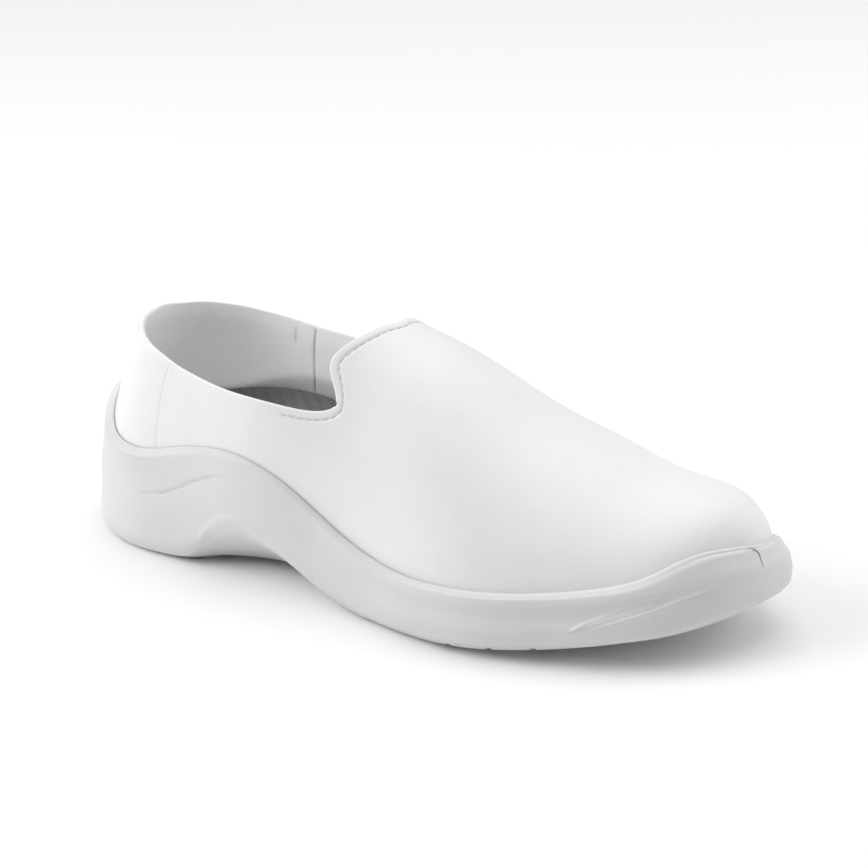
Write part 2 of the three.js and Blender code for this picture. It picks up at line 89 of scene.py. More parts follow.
# How full the form closes at each end: lateral, medial, ridge, rise, in the units of SECTIONS
HEEL_END = (0.63, 0.694, 0, 0.275)
TOE_END = (0.697, 0.251, 0.11, 0.915)
# Curve of the sections and line of the base: along, power of the curve on the lateral and the
# medial side, share of the heel's lift in the base line, share of the toe spring in it
BASE = np.array([
    (0, 2.4, 2.4, 0.97, 0),
    (0.06, 2.22, 1.9, 0.99, 0),
    (0.16, 2.17, 2.12, 1.035, 0),
    (0.3, 2.25, 2.25, 0.866, 0),
    (0.42, 2.1, 2.25, 0.577, 0),
    (0.55, 1.95, 2.3, 0.227, 0),
    (0.66, 1.95, 2.3, 0.046, 0),
    (0.76, 2, 2.3, 0, 0.015),
    (0.86, 2.15, 2.35, 0, 0.113),
    (0.94, 2.2, 2.35, 0, 0.267),
    (1, 2.2, 2.35, 0, 0.63),
])
# Collar edge. turn: degrees round the foot on either side, 0 at the heel and 180 at the toe. Then
# the share of the base length on the lateral and the medial side, and the angle on the section
# on both sides, 0 at the base line and 90 on the ridge.
COLLAR = np.array([
    (0, 0.074, 0.074, 90, 90),
    (18, 0.0915, 0.087, 56, 56.6),
    (32, 0.123, 0.1255, 38.6, 38),
    (42, 0.157, 0.159, 31.1, 30.3),
    (51, 0.195, 0.195, 26.6, 25.8),
    (60, 0.259, 0.259, 24.3, 23.6),
    (70, 0.342, 0.342, 28.3, 28.3),
    (77, 0.393, 0.393, 33.9, 33.9),
    (83, 0.42, 0.42, 39.4, 39.4),
    (90, 0.42, 0.422, 44.2, 43),
    (100, 0.407, 0.411, 49.5, 46),
    (113, 0.408, 0.419, 57, 51.5),
    (130, 0.429, 0.449, 71, 64),
    (152, 0.442, 0.458, 80.5, 78),
    (180, 0.454, 0.454, 90, 90),
])
# Upper edge of the sole, by turn: its height on the lateral and the medial side as a share of the
# instep, and the lip's thickness as a share of the side wall
RIM = np.array([
    (0, 0.57, 0.57, 0.31),
    (10, 0.586, 0.586, 0.31),
    (18, 0.527, 0.527, 0.31),
    (25, 0.457, 0.457, 0.31),
    (32, 0.43, 0.43, 0.31),
    (41, 0.438, 0.438, 0.31),
    (55, 0.51, 0.51, 0.31),
    (65, 0.53, 0.53, 0.33),
    (74, 0.462, 0.462, 0.43),
    (84, 0.33, 0.33, 0.62),
    (95, 0.252, 0.252, 0.79),
    (108, 0.246, 0.246, 0.83),
    (122, 0.263, 0.263, 0.83),
    (135, 0.298, 0.29, 0.81),
    (147, 0.349, 0.32, 0.71),
    (160, 0.417, 0.335, 0.48),
    (180, 0.382, 0.382, 0.43),
])
# Lower edge of the sole's side, by turn: its height on both sides as a share of the heel seat, and
# how far in from it the ground face starts, as a share of the ball
EDGE = np.array([
    (0, 0.136, 0.136, 0.05, 0.05),
    (22, 0.044, 0.044, 0.04, 0.04),
    (40, 0.038, 0.038, 0.04, 0.04),
    (48, 0.063, 0.063, 0.045, 0.045),
    (53, 0.136, 0.142, 0.06, 0.06),
    (57, 0.31, 0.316, 0.09, 0.09),
    (62, 0.506, 0.522, 0.14, 0.13),
    (66, 0.595, 0.633, 0.17, 0.15),
    (70, 0.57, 0.633, 0.18, 0.15),
    (75, 0.411, 0.522, 0.15, 0.14),
    (80, 0.212, 0.332, 0.09, 0.11),
    (86, 0.066, 0.127, 0.05, 0.06),
    (94, 0.028, 0.038, 0.04, 0.04),
    (108, 0.079, 0.079, 0.04, 0.04),
    (127, 0.237, 0.237, 0.04, 0.04),
    (149, 0.453, 0.453, 0.04, 0.04),
    (180, 0.528, 0.528, 0.04, 0.04),
])
# Side of the sole by its share of the way down: distance out from the upper's form at the back,
# heel, forefoot and toe, as shares of the side wall
SIDE = np.array([
    (0.06, 0.8, 0.5, 0.95, 0.65),
    (0.19, 0.65, 0.62, 0.93, 0.85),
    (0.27, 0.57, 0.7, 0.78, 1.04),
    (0.43, 0.63, 0.82, 0.82, 1.2),
    (0.54, 0.8, 0.88, 1, 1.27),
    (0.78, 0.98, 0.92, 1, 1.21),
    (0.93, 1.05, 0.84, 0.92, 1.1),
    (1, 0.93, 0.66, 0.72, 0.99),
])
# Insole, by its share of the length: height of its top over the base line at the lateral edge, in
# the middle and at the medial edge, as shares of its thickness
FOOTBED = np.array([
    (0, 1.5, 1.25, 1.5),
    (0.1, 1.75, 1.12, 2),
    (0.2, 2, 1.25, 2.75),
    (0.3, 2.12, 1.62, 3.38),
    (0.42, 1.75, 1.5, 2.38),
    (0.55, 1.25, 1.12, 1.5),
    (0.7, 1, 1, 1),
    (1, 1, 1, 1),
])

# Details of the upper

# Seams, by turn: outside on the lateral quarter, inside on the medial lining
QUARTER_SEAM = 44
LINING_SEAM = -60.3
LINING_NOTCH = -56.2
# Depths of the seams, and half widths in degrees of turn
QUARTER_SEAM_DEPTH = 0.14
QUARTER_SEAM_WIDTH = 0.4
LINING_SEAM_DEPTH = 0.55
LINING_SEAM_WIDTH = 0.2
LINING_NOTCH_DEPTH = 0.3
LINING_NOTCH_WIDTH = 0.25
# Wall at the turned edge of the opening, and padding of the collar at the heel
EDGE_THICKNESS = 1.3
HEEL_PADDING = 1.3
PADDING_TURN = 14
PADDING_SPREAD = 20
# Distances of the mesh rows from the edge, where the hem and the roll need them fine
EDGE_ROWS = (8, 7, 6, 5.2, 4.6, 4.2, 3.9, 3.6, 3.3, 3, 2.7, 2.4, 2.1, 1.8, 1.5, 1.2, 0.9)
# Stitched hem: the stitch line's distance from the edge, the turn it starts at, and its trough
STITCH_LINE = 3.1
HEM_START = 71
HEM_TROUGH_DEPTH = 0.38
HEM_TROUGH_WIDTH = 0.55
STITCH_PITCH = 3.1
STITCH_RADIUS = 0.24
STITCH_SUNK = 0.2

# Details of the sole

# Gap between the upper and the lip of the sole
LIP_GAP = 0.18
# Profile of the lip, from the side inwards: share of its thickness, height over the rim
LIP_PROFILE = ((0.92, -0.75), (0.8, -0.4), (0.62, -0.12), (0.4, 0.05), (0.2, 0), (0.07, -0.2), (0, -0.6))
# How far the lower edge of the sole rounds in
EDGE_ROUND = 1.1
# Ends of the two treads as shares of the base length
HEEL_TREAD = (0.08, 0.19)
FORE_TREAD = (0.46, 0.93)
# How far the grooves stay in from the edge, and the forefoot's grooves that run out through it
GROOVE_INSET = 7
OPEN_GROOVES = (3, 4, 5)
OPEN_GROOVE_REACH = 20
SIPE_WIDTH = 0.8
SIPE_DEPTH = 0.9
# How far the cutters reach below the floor
CUTTER_REACH = 6

# Lines on the side of the sole, each a list of (turn, down) with its depth and width in mm. A negative
# depth stands out, and a crease deeper than the threshold below is also painted darker along its fold,
# as painted shade.
PAINTED_SHADE_DEPTH = 0.4
SOLE_MARKS = [
    ([(38, 0.45), (42, 0.42), (46, 0.41), (49, 0.38), (53.5, 0.33), (57.5, 0.3), (64, 0.25)], 0.45, 0.5),
    ([(-38, 0.45), (-42, 0.42), (-49, 0.38), (-53.5, 0.33), (-64, 0.25)], 0.45, 0.5),
    ([(12, 0.49), (21, 0.5), (24.5, 0.48), (29, 0.47), (33, 0.46), (38, 0.44)], 0.3, 1.5),
    (
        [(55, 0.97), (57.5, 0.88), (59.5, 0.83), (62, 0.785), (65, 0.765), (68, 0.77), (71, 0.86)],
        -0.45,
        1.3,
    ),
    ([(-55, 0.97), (-57.5, 0.88), (-61.5, 0.79), (-65, 0.765), (-68, 0.77), (-71, 0.86)], -0.45, 1.3),
    ([(56, 0.9), (59, 0.79), (62, 0.735), (65, 0.715), (68, 0.72)], -0.25, 0.7),
    ([(107, 0.41), (112, 0.435), (118, 0.43), (125, 0.41), (131, 0.43)], -0.2, 0.6),
    (
        [
            (126, 0.67), (130, 0.62), (134.5, 0.55), (140, 0.48),
            (145, 0.43), (150, 0.4), (154, 0.4), (162, 0.41),
        ],
        -0.4,
        0.6,
    ),
    (
        [(126, 0.73), (130, 0.68), (134.5, 0.61), (140, 0.54), (145, 0.49), (150, 0.46), (154, 0.46)],
        -0.22,
        0.5,
    ),
    ([(-126, 0.67), (-134.5, 0.55), (-140, 0.48), (-145, 0.43), (-150, 0.4), (-162, 0.41)], -0.4, 0.6),
]
# Fine grip ribs on the front of the side wall, from a line on the ridge to a line above it
RIB_COUNT = 24
RIB_LEAN = 2
RIB_HEIGHT = 0.4
RIB_WIDTH = 0.36
RIB_BOW = 0.3
RIB_TURN = 136
RIB_FOOT = [(127, 0.6), (131, 0.56), (136, 0.49), (141, 0.43), (146, 0.38)]
RIB_HEAD = [(130, 0.5), (133.5, 0.42), (138.5, 0.32), (143, 0.24), (148, 0.24)]
# Parting line of the mould at the tip, drawn as a dark tube of painted shadow
PARTING_LINE = [(168.8, -0.01), (170.2, 0.02), (170.8, 0.09), (170.5, 0.17), (169.8, 0.3)]
PARTING_RADIUS = 0.18

# Shape functions


def spline(xs, ys):
    """Natural cubic spline through the points (xs, ys)."""
    xs = np.asarray(xs, float)
    ys = np.asarray(ys, float)
    n = len(xs)
    gap = np.diff(xs)
    system = np.zeros((n, n))
    right = np.zeros(n)
    system[0, 0] = system[-1, -1] = 1
    for i in range(1, n - 1):
        system[i, i - 1 : i + 2] = gap[i - 1], 2 * (gap[i - 1] + gap[i]), gap[i]
        right[i] = 6 * ((ys[i + 1] - ys[i]) / gap[i] - (ys[i] - ys[i - 1]) / gap[i - 1])
    bend = np.linalg.solve(system, right)

    def at(value):
        x = np.clip(np.asarray(value, float), xs[0], xs[-1])
        i = np.clip(np.searchsorted(xs, x) - 1, 0, n - 2)
        width = gap[i]
        left = xs[i + 1] - x
        over = x - xs[i]
        cubic = (bend[i] * left**3 + bend[i + 1] * over**3) / (6 * width)
        low = (ys[i] / width - bend[i] * width / 6) * left
        high = (ys[i + 1] / width - bend[i + 1] * width / 6) * over
        return cubic + low + high

    return at


def mix(a, b, share):
    return a + (b - a) * share


def smooth(value, low, high):
    t = np.clip((np.asarray(value, float) - low) / (high - low), 0, 1)
    return t * t * (3 - 2 * t)


def roundness(along):
    return 2 * np.sqrt(np.maximum(0, along * (1 - along)))


def unit(vectors):
    return vectors / np.linalg.norm(vectors, axis=-1, keepdims=True)


STATIONS = np.concatenate([[0], SECTIONS[:, 0], [1]])


def closing_spline(values, heel_end, toe_end):
    inner = values / roundness(SECTIONS[:, 0])
    return spline(STATIONS, np.concatenate([[heel_end], inner, [toe_end]]))


def turn_spline(rows, column, mirror=None):
    """Spline by turn, mirrored at heel and toe so that it crosses both ends level."""
    turns = rows[:, 0]
    values = rows[:, column]
    other = values if mirror is None else 2 * mirror - values
    xs = np.concatenate([[-turns[2], -turns[1]], turns, [360 - turns[-2], 360 - turns[-3]]])
    ys = np.concatenate([[other[2], other[1]], values, [other[-2], other[-3]]])
    curve = spline(xs, ys)
    return lambda turn: curve(np.abs(turn))


ridge_share = spline(STATIONS, np.concatenate([[HEEL_END[2]], SECTIONS[:, 3], [TOE_END[2]]]))
lateral_full = closing_spline(SECTIONS[:, 1] + SECTIONS[:, 3], HEEL_END[0], TOE_END[0])
medial_full = closing_spline(SECTIONS[:, 2] - SECTIONS[:, 3], HEEL_END[1], TOE_END[1])
rise_full = closing_spline(SECTIONS[:, 4], HEEL_END[3], TOE_END[3])
round_lat, round_med, drop_share, spring_share = [spline(BASE[:, 0], BASE[:, i]) for i in (1, 2, 3, 4)]
collar_lateral, collar_medial = [turn_spline(COLLAR, i) for i in (1, 2)]
up_lateral, up_medial = [turn_spline(COLLAR, i, 90) for i in (3, 4)]
rim_lateral = turn_spline(RIM, 1)
rim_medial = turn_spline(RIM, 2)
lip_share = turn_spline(RIM, 3)
edge_lateral, edge_medial, inset_lateral, inset_medial = [turn_spline(EDGE, i) for i in (1, 2, 3, 4)]
side_back, side_heel, side_fore, side_toe = [spline(SIDE[:, 0], SIDE[:, i]) for i in (1, 2, 3, 4)]
bed_lateral, bed_centre, bed_medial = [spline(FOOTBED[:, 0], FOOTBED[:, i]) for i in (1, 2, 3)]


def width_scale(along):
    return BASE_BALL * mix(HEEL_SCALE, 1, smooth(along, 0.2, 0.5))


def seat_at(along):
    lift = (HEEL_SEAT - BALL_SEAT) * drop_share(along)
    return BALL_SEAT + lift + TOE_SPRING * spring_share(along)


def ground_at(along):
    bevel = 0.95 * SIDE_WALL * (1 - smooth(along, -0.01, 0.04))
    arch = smooth(along, 0.18, 0.24) * (1 - smooth(along, 0.38, 0.45))
    spring = 1.05 * TOE_SPRING * np.clip((along - 0.57) / 0.43, 0, 1) ** 1.5
    return bevel + 0.082 * HEEL_SEAT * arch + spring


def rim_height(turn):
    return INSTEP_HEIGHT * np.where(np.asarray(turn) < 0, rim_medial(turn), rim_lateral(turn))


def lip_thickness(turn):
    return SIDE_WALL * lip_share(turn)


def edge_height(turn):
    return HEEL_SEAT * np.where(np.asarray(turn) < 0, edge_medial(turn), edge_lateral(turn))


def form_point(direction):
    """Point of the upper's closed form for a direction: x to the toe, y lateral, z up."""
    along = (1 + direction[..., 0]) / 2
    spread = np.hypot(direction[..., 1], direction[..., 2])
    safe = np.where(spread > 1e-9, spread, 1)
    across = np.abs(direction[..., 1]) / safe
    up = np.maximum(0, direction[..., 2]) / safe
    lateral = direction[..., 1] > 0
    power = 2 / np.where(lateral, round_lat(along), round_med(along))
    full = np.where(lateral, lateral_full(along), medial_full(along))
    reach = full * width_scale(along) * spread * across**power
    x = HEEL_OVERHANG + BASE_LENGTH * along
    y = ridge_share(along) * width_scale(along) + np.where(lateral, -reach, reach)
    z = seat_at(along) + rise_full(along) * INSTEP_HEIGHT * spread * up**power
    return np.stack([x, y, z], -1)


def upper_point(turn, climb):
    """Point of the upper's outside. Climb is 0 at the base line and 1 at the collar edge."""
    turn, climb = np.broadcast_arrays(np.asarray(turn, float), np.asarray(climb, float))
    wrapped = np.where(turn > 180, turn - 360, np.where(turn < -180, turn + 360, turn))
    side = np.where(wrapped < 0, -1, 1)
    angle = np.radians(np.abs(wrapped))
    base = np.stack([-np.cos(angle), side * np.sin(angle), 0 * angle], -1)
    along = np.where(wrapped < 0, collar_medial(wrapped), collar_lateral(wrapped))
    up = np.radians(np.where(wrapped < 0, up_medial(wrapped), up_lateral(wrapped)))
    spread = roundness(along)
    edge = np.stack([2 * along - 1, side * spread * np.cos(up), spread * np.sin(up)], -1)
    arc = np.arccos(np.clip(np.sum(base * edge, -1), -1, 1))
    low = np.sin((1 - climb) * arc) / np.sin(arc)
    high = np.sin(climb * arc) / np.sin(arc)
    return form_point(base * low[..., None] + edge * high[..., None])


def skin_normal(turn, climb):
    step = 0.004
    low = np.clip(climb - step, 0, 1)
    around = upper_point(turn + 0.5, climb) - upper_point(turn - 0.5, climb)
    upward = upper_point(turn, low + 2 * step) - upper_point(turn, low)
    return unit(np.cross(around, upward))


def skin_point(turn, climb, distance):
    distance = np.asarray(distance, float)
    return upper_point(turn, climb) + skin_normal(turn, climb) * distance[..., None]


def climb_at(turns, heights):
    """Climb at which the column of each turn reaches each height. Heights has a row per level."""
    steps = np.linspace(0, 1, 241)
    levels = upper_point(turns[None, :], steps[:, None])[..., 2]
    found = np.empty(np.shape(heights))
    for i in range(len(turns)):
        found[..., i] = np.interp(heights[..., i], levels[:, i], steps)
    return found


def plan_normal(turn):
    around = upper_point(turn + 0.5, 0) - upper_point(turn - 0.5, 0)
    return unit(np.stack([around[..., 1], -around[..., 0], 0 * around[..., 0]], -1))


def seat_under(points):
    return seat_at((points[..., 0] - HEEL_OVERHANG) / BASE_LENGTH)


def side_out(turn, down):
    rear = mix(side_back(down), side_heel(down), smooth(np.abs(turn), 25, 70))
    front = mix(side_fore(down), side_toe(down), smooth(np.abs(turn), 135, 165))
    return SIDE_WALL * mix(rear, front, smooth(np.abs(turn), 70, 100))


def side_points(turns, down):
    """Points on the sole's side, one row for each value of down."""
    turns = np.asarray(turns, float)
    grid = np.broadcast_to(turns, np.shape(down))
    height = mix(rim_height(grid), edge_height(grid), down)
    base = upper_point(turns, 0.0)
    climb = climb_at(turns, height)
    over = (height > base[..., 2])[..., None]
    points = np.where(over, upper_point(grid, climb), np.broadcast_to(base, height.shape + (3,)))
    points = points + plan_normal(grid) * side_out(grid, np.maximum(down, 0.06))[..., None]
    points[..., 2] = height
    return points


def line_distance(points, line):
    """Distance of each point to a line of points, and the share of the line where it is nearest."""
    best = np.full(points.shape[:-1], 1e9)
    place = np.zeros(points.shape[:-1])
    for i in range(len(line) - 1):
        start = line[i]
        step = line[i + 1] - start
        share = np.clip(np.sum((points - start) * step, -1) / np.dot(step, step), 0, 1)
        distance = np.linalg.norm(points - start - share[..., None] * step, axis=-1)
        nearer = distance < best
        best = np.where(nearer, distance, best)
        place = np.where(nearer, (i + share) / (len(line) - 1), place)
    return best, place


def fine_line(marks, count=40):
    """Smooth line of points on the sole's side through a few (turn, down) marks."""
    marks = np.array(marks, float)
    steps = np.arange(len(marks))
    at = np.linspace(0, len(marks) - 1, count)
    turn = spline(steps, marks[:, 0])(at)
    down = spline(steps, marks[:, 1])(at)
    return side_points(turn, down[None, :])[0]


def gauss(distance, width):
    return np.exp(-((distance / width) ** 2))


def faded_ends(place):
    """Strength of a line by the share of it passed, fading in and out at its ends."""
    return smooth(place, 0, 0.15) * (1 - smooth(place, 0.85, 1))


def to_frame(points):
    return (np.asarray(points) - np.array(FRAME_ORIGIN)) / 1000


def loop_turns(extra=()):
    """Turns of a loop: heel, lateral side, toe, medial side. Extra turns are added on both sides."""
    half = np.concatenate([np.linspace(0, 180, COLUMNS + 1), np.abs(extra)])
    half = np.unique(np.round(half, 3))
    return np.concatenate([half, -half[-2:0:-1]])


def new_object(name, data):
    thing = bpy.data.objects.new(name, data)
    bpy.context.collection.objects.link(thing)
    return thing


class Skin:
    """Surface of rows of points, each row a loop of the same count."""

    def __init__(self, turns):
        self.turns = turns
        self.count = len(turns)
        self.points = np.zeros((0, 3))
        self.faces = []
        self.parts = []

    def add_row(self, row):
        first = len(self.points)
        self.points = np.concatenate([self.points, row])
        return np.arange(first, first + len(row))

    def add_faces(self, faces, part):
        self.faces.extend(faces)
        self.parts.extend([part] * len(faces))

    def join_rows(self, below, above, part=0):
        ahead_below = np.roll(below, -1)
        ahead_above = np.roll(above, -1)
        quads = np.stack([below, ahead_below, ahead_above, above], -1)
        self.add_faces(quads.tolist(), part)

    def close_across(self, loop, inner, up):
        """Closes a loop with lines across. inner(lateral, medial, turns) gives the points between."""
        half = self.count // 2
        lateral = loop[1:half]
        medial = loop[: half : -1]
        between = inner(self.points[lateral], self.points[medial], self.turns[1:half])
        first = len(self.points)
        cells = between.shape[1]
        self.points = np.concatenate([self.points, between.reshape(-1, 3)])
        body = first + np.arange(len(lateral) * cells).reshape(len(lateral), cells)
        lines = np.concatenate([lateral[:, None], body, medial[:, None]], 1)
        back = lines[:-1]
        front = lines[1:]
        quads = np.stack([back[:, :-1], front[:, :-1], front[:, 1:], back[:, 1:]], -1).reshape(-1, 4)
        heel = [[loop[0], a, b] for a, b in zip(lines[0][:-1], lines[0][1:])]
        toe = [[loop[half], b, a] for a, b in zip(lines[-1][:-1], lines[-1][1:])]
        faces = quads.tolist() + heel + toe
        if not up:
            faces = [face[::-1] for face in faces]
        self.add_faces(faces, 0)

    def build(self, name, materials, painted_shade=None):
        mesh = bpy.data.meshes.new(name)
        mesh.from_pydata(to_frame(self.points).tolist(), [], self.faces)
        for material in materials:
            mesh.materials.append(material)
        mesh.polygons.foreach_set("material_index", self.parts)
        mesh.polygons.foreach_set("use_smooth", [True] * len(mesh.polygons))
        if painted_shade is not None:
            # Attribute with the painted shade of each point
            layer = mesh.attributes.new("painted_shade", "FLOAT", "POINT")
            layer.data.foreach_set("value", painted_shade)
        mesh.update()
        return new_object(name, mesh)


# Materials


def add_node(tree, kind, inputs=None, **settings):
    node = tree.nodes.new(kind)
    for key, value in settings.items():
        setattr(node, key, value)
    for key, value in (inputs or {}).items():
        node.inputs[key].default_value = value
    return node


def new_material(name, **shader):
    material = bpy.data.materials.new(name)
    material.use_nodes = True
    tree = material.node_tree
    principled = tree.nodes["Principled BSDF"]
    for key, value in shader.items():
        principled.inputs[key.replace("_", " ")].default_value = value
    place = add_node(tree, "ShaderNodeTexCoord").outputs["Object"]
    return material, tree, principled, place


def noise(tree, place, scale, detail=2.0, rough=0.5):
    node = add_node(tree, "ShaderNodeTexNoise", {"Scale": scale, "Detail": detail, "Roughness": rough})
    tree.links.new(place, node.inputs["Vector"])
    return node.outputs["Fac"]


def mapped(tree, value, low, high, to_low, to_high):
    node = add_node(
        tree,
        "ShaderNodeMapRange",
        {"From Min": low, "From Max": high, "To Min": to_low, "To Max": to_high},
    )
    tree.links.new(value, node.inputs["Value"])
    return node.outputs["Result"]


def math_node(tree, operation, first, second):
    node = add_node(tree, "ShaderNodeMath", operation=operation)
    tree.links.new(first, node.inputs[0])
    tree.links.new(second, node.inputs[1])
    return node.outputs[0]


def colour_mix(tree, share, first, second):
    node = add_node(tree, "ShaderNodeMix", data_type="RGBA")
    tree.links.new(share, node.inputs[0])
    for socket, value in ((node.inputs[6], first), (node.inputs[7], second)):
        if isinstance(value, tuple):
            socket.default_value = (*value, 1)
        else:
            tree.links.new(value, socket)
    return node.outputs[2]


def bump(tree, height, strength, distance, before=None):
    node = add_node(tree, "ShaderNodeBump", {"Strength": strength, "Distance": distance})
    tree.links.new(height, node.inputs["Height"])
    if before is not None:
        tree.links.new(before, node.inputs["Normal"])
    return node.outputs["Normal"]


def painted_shade_value(tree):
    return add_node(tree, "ShaderNodeAttribute", attribute_name="painted_shade").outputs["Fac"]


def smooth_leather():
    """White close-grained upper."""
    material, tree, shader, place = new_material(
        "upper_smooth_white", Coat_Weight=0.12, Coat_Roughness=0.34, Specular_IOR_Level=0.42
    )
    broad = noise(tree, place, 26, 3)
    clouds = mapped(tree, broad, 0.35, 0.65, 0, 1)
    tint = colour_mix(tree, clouds, (0.832, 0.832, 0.828), (0.862, 0.864, 0.862))
    handled = mapped(tree, noise(tree, place, 90, 4), 0.55, 0.75, 0, 0.35)
    tint = colour_mix(tree, handled, tint, (0.8, 0.797, 0.787))
    # Painted shade in the hem's trough and the quarter seam's groove, read from the mesh's attribute
    tint = colour_mix(tree, painted_shade_value(tree), tint, (0.6, 0.59, 0.57))
    tree.links.new(tint, shader.inputs["Base Color"])
    tree.links.new(mapped(tree, broad, 0.3, 0.7, 0.36, 0.46), shader.inputs["Roughness"])
    pebble = add_node(tree, "ShaderNodeTexVoronoi", {"Scale": 1300.0}, feature="SMOOTH_F1")
    tree.links.new(place, pebble.inputs["Vector"])
    grain = bump(tree, pebble.outputs["Distance"], 0.14, 0.00012)
    grain = bump(tree, noise(tree, place, 3600, 3), 0.1, 0.00006, grain)
    grain = bump(tree, noise(tree, place, 55, 2), 0.18, 0.0005, grain)
    tree.links.new(grain, shader.inputs["Normal"])
    return material


def lining_cloth():
    """Light grey lining of the inside."""
    material, tree, shader, place = new_material(
        "lining_grey",
        Subsurface_Weight=0.85,
        Subsurface_Radius=(1, 1, 1),
        Subsurface_Scale=0.006,
        Specular_IOR_Level=0.25,
    )
    wear = mapped(tree, noise(tree, place, 40, 4), 0.35, 0.7, 0, 1)
    tint = colour_mix(tree, wear, (0.97, 0.968, 0.963), (0.94, 0.936, 0.93))
    # Painted shade in the lining seam and the notch
    tint = colour_mix(tree, painted_shade_value(tree), tint, (0.42, 0.412, 0.4))
    tree.links.new(tint, shader.inputs["Base Color"])
    tree.links.new(mapped(tree, wear, 0, 1, 0.78, 0.9), shader.inputs["Roughness"])
    threads = add_node(tree, "ShaderNodeTexVoronoi", {"Scale": 1500.0, "Randomness": 0.35})
    tree.links.new(place, threads.inputs["Vector"])
    cloth = bump(tree, threads.outputs["Distance"], 0.35, 0.00025)
    cloth = bump(tree, noise(tree, place, 120, 3), 0.2, 0.0006, cloth)
    tree.links.new(cloth, shader.inputs["Normal"])
    return material


def sole_foam():
    """Off-white moulded sole, a little greyer and duller than the upper."""
    material, tree, shader, place = new_material("sole_moulded_foam", Specular_IOR_Level=0.4)
    parts = add_node(tree, "ShaderNodeSeparateXYZ")
    tree.links.new(place, parts.inputs["Vector"])
    clouds = mapped(tree, noise(tree, place, 34, 4), 0.35, 0.65, 0, 1)
    tint = colour_mix(tree, clouds, (0.7, 0.697, 0.682), (0.735, 0.732, 0.72))
    low = mapped(tree, parts.outputs["Z"], 0.0, 0.008, 0.3, 0)
    scuffs = mapped(tree, noise(tree, place, 260, 5, 0.7), 0.45, 0.72, 0, 1)
    worn = math_node(tree, "MULTIPLY", low, scuffs)
    tint = colour_mix(tree, worn, tint, (0.5, 0.485, 0.455))
    # Painted shade in the deep creases of the sole's side
    tint = colour_mix(tree, painted_shade_value(tree), tint, (0.42, 0.41, 0.39))
    tree.links.new(tint, shader.inputs["Base Color"])
    dull = mapped(tree, noise(tree, place, 110, 4), 0.3, 0.7, 0.5, 0.64)
    tree.links.new(dull, shader.inputs["Roughness"])
    skin = bump(tree, noise(tree, place, 1500, 4, 0.6), 0.14, 0.00015)
    skin = bump(tree, noise(tree, place, 70, 2), 0.25, 0.0006, skin)
    tree.links.new(skin, shader.inputs["Normal"])
    return material


def insole_fabric():
    """Dark grey woven cover of the insole."""
    material, tree, shader, place = new_material(
        "insole_dark_weave", Sheen_Weight=0.12, Sheen_Roughness=0.45, Specular_IOR_Level=0.2
    )
    across = []
    for axis, turn in (("X", 0.6), ("Y", -0.6)):
        wave = add_node(
            tree,
            "ShaderNodeTexWave",
            {"Scale": 210.0, "Distortion": 0.6, "Detail": 1.0},
            bands_direction=axis,
        )
        spin = add_node(tree, "ShaderNodeVectorRotate", {"Angle": turn}, rotation_type="Z_AXIS")
        tree.links.new(place, spin.inputs["Vector"])
        tree.links.new(spin.outputs["Vector"], wave.inputs["Vector"])
        across.append(wave.outputs["Fac"])
    weave = math_node(tree, "MAXIMUM", across[0], across[1])
    clouds = mapped(tree, noise(tree, place, 60, 4), 0.35, 0.65, 0, 1)
    tint = colour_mix(tree, clouds, (0.165, 0.161, 0.162), (0.21, 0.206, 0.206))
    tint = colour_mix(tree, mapped(tree, weave, 0.2, 1, 0.5, 0), tint, (0.06, 0.058, 0.06))
    tree.links.new(tint, shader.inputs["Base Color"])
    tree.links.new(mapped(tree, clouds, 0, 1, 0.82, 0.93), shader.inputs["Roughness"])
    cloth = bump(tree, weave, 0.5, 0.0003)
    cloth = bump(tree, noise(tree, place, 2200, 3), 0.2, 0.0001, cloth)
    tree.links.new(cloth, shader.inputs["Normal"])
    return material


def plain_thread(name, tone, rough):
    """Fine twisted thread, or the dark tone of a mould line's painted shadow."""
    material, tree, shader, place = new_material(name, Specular_IOR_Level=0.3)
    lay = noise(tree, place, 2600, 2)
    dark = tuple(0.8 * part for part in tone)
    tree.links.new(colour_mix(tree, lay, dark, tone), shader.inputs["Base Color"])
    tree.links.new(mapped(tree, lay, 0.3, 0.7, rough - 0.06, rough + 0.06), shader.inputs["Roughness"])
    tree.links.new(bump(tree, lay, 0.3, 0.0001), shader.inputs["Normal"])
    return material


# Pieces


def edge_lines(turns):
    """Gives, for a distance from the collar edge, the climb of each turn at that distance."""
    turns = np.asarray(turns, float)
    ring = [upper_point(turns + offset, 1.0) for offset in np.linspace(-14, 14, 57)]
    steps = np.linspace(1, 0.35, 110)
    # A tiny slope keeps the distances rising, so that each one has its own climb
    slope = 1e-6
    away = np.zeros((len(steps), len(turns)))
    for i, climb in enumerate(steps):
        point = upper_point(turns, climb)
        best = np.full(len(turns), 1e9)
        for start, end in zip(ring, ring[1:]):
            step = end - start
            share = np.clip(np.sum((point - start) * step, -1) / np.sum(step * step, -1), 0, 1)
            best = np.minimum(best, np.linalg.norm(point - start - share[:, None] * step, axis=-1))
        away[i] = best
    away = np.maximum.accumulate(away, axis=0) + np.arange(len(steps))[:, None] * slope

    def at(distance):
        distance = np.broadcast_to(distance, len(turns))
        return np.array([np.interp(distance[i], away[:, i], steps) for i in range(len(turns))])

    return at


def outside_rows(rim, inside_edge, radius):
    """Climbs of the outside's rows, each with its distance from the edge where one is set."""
    top = inside_edge(EDGE_ROWS[0])
    rows = [(rim * share, None) for share in np.linspace(0, 1, 7)[:-1]]
    rows += [(mix(rim, top, share), None) for share in np.linspace(0, 1, 34)[:-1]]
    rows += [(inside_edge(distance), distance) for distance in EDGE_ROWS[:-1]]
    rows.append((inside_edge(radius), EDGE_ROWS[-1]))
    return rows


